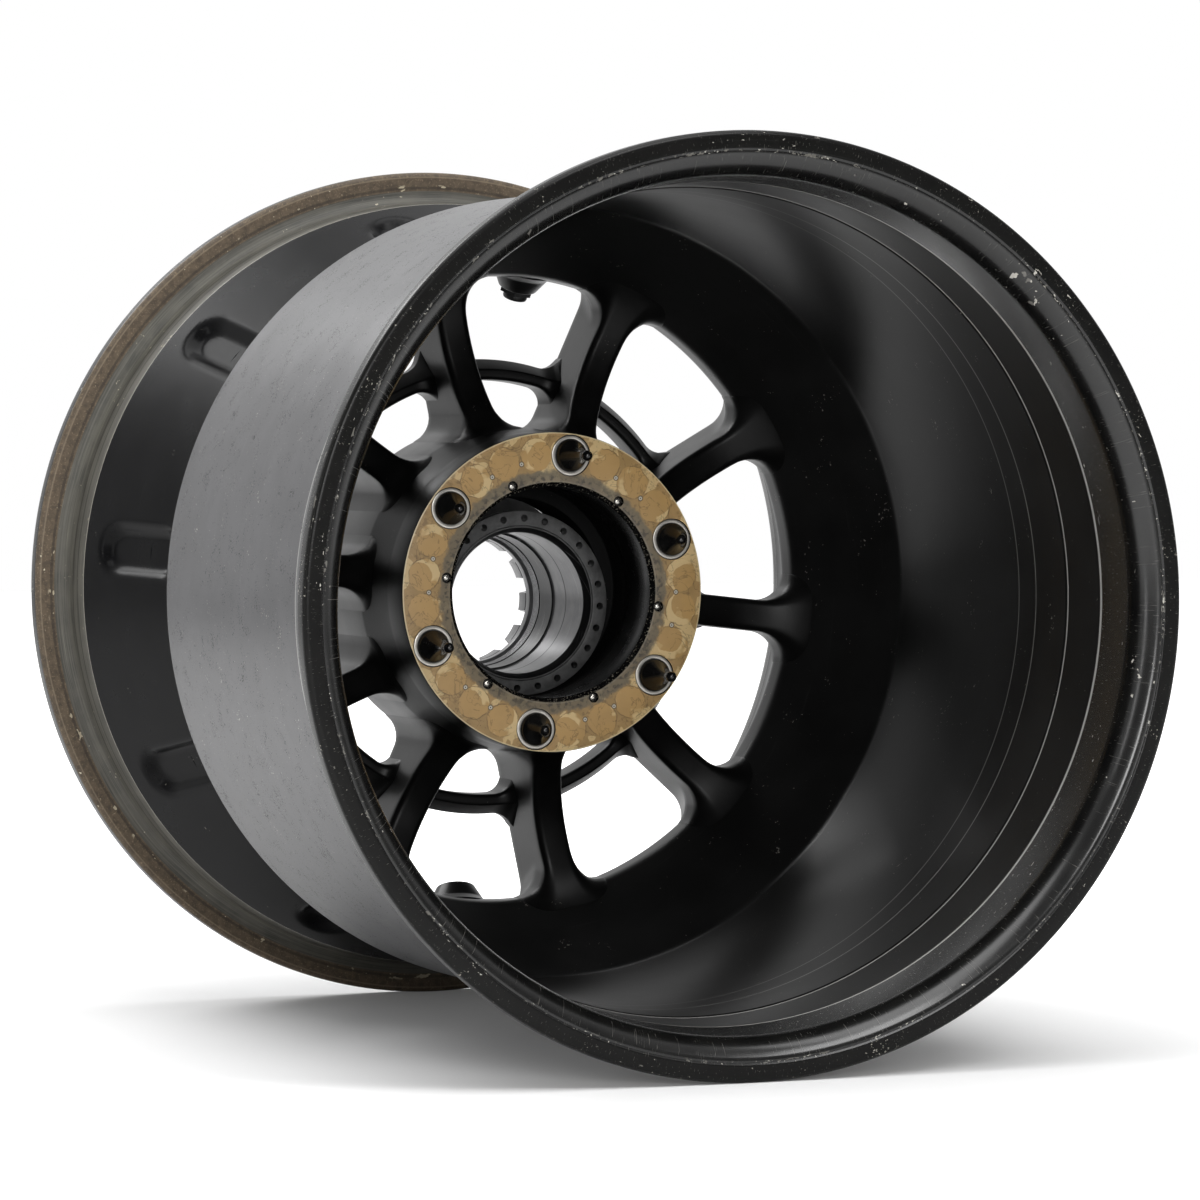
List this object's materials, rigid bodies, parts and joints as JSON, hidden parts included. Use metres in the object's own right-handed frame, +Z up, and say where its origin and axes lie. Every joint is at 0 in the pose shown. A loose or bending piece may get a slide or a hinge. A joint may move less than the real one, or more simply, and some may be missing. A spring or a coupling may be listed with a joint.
{
  "type": "racing wheel rim",
  "caption": "Wide one-piece forged racing wheel rim with deep spokes, a drop well, a gold drive face with tapered drive pegs and a captive centre nut, in worn satin black.",
  "frame": {"origin": "on the wheel's axis at half the rim's overall width", "axes": "+Y along the wheel's axis towards the outboard side, +Z up, the drive face looks along -Y"},
  "size_m": [0.358, 0.367, 0.358],
  "materials": {
    "forging": "worn satin black paint, chromate gold drive face",
    "peg_black": "polished black",
    "bush_steel": "turned",
    "pin_steel": "turned",
    "nut_alloy": "satin, oiled",
    "keeper_black": "rough dark anodised",
    "valve_alloy": "dull",
    "plug_black": "satin",
    "cap_plastic": "matt"
  },
  "bodies": {
    "root": {"blank_plug": "plug_black", "drive_peg_1": "peg_black", "drive_peg_2": "peg_black", "drive_peg_3": "peg_black", "drive_peg_4": "peg_black", "drive_peg_5": "peg_black", "drive_peg_6": "peg_black", "face_pins": "pin_steel", "nut_keeper": "keeper_black", "nut_sleeve": "nut_alloy", "peg_bush_1": "bush_steel", "peg_bush_2": "bush_steel", "peg_bush_3": "bush_steel", "peg_bush_4": "bush_steel", "peg_bush_5": "bush_steel", "peg_bush_6": "bush_steel", "valve_cap": "cap_plastic", "valve_nut": "valve_alloy", "valve_stem": "valve_alloy", "wheel_forging": "forging"}
  },
  "joints": []
}
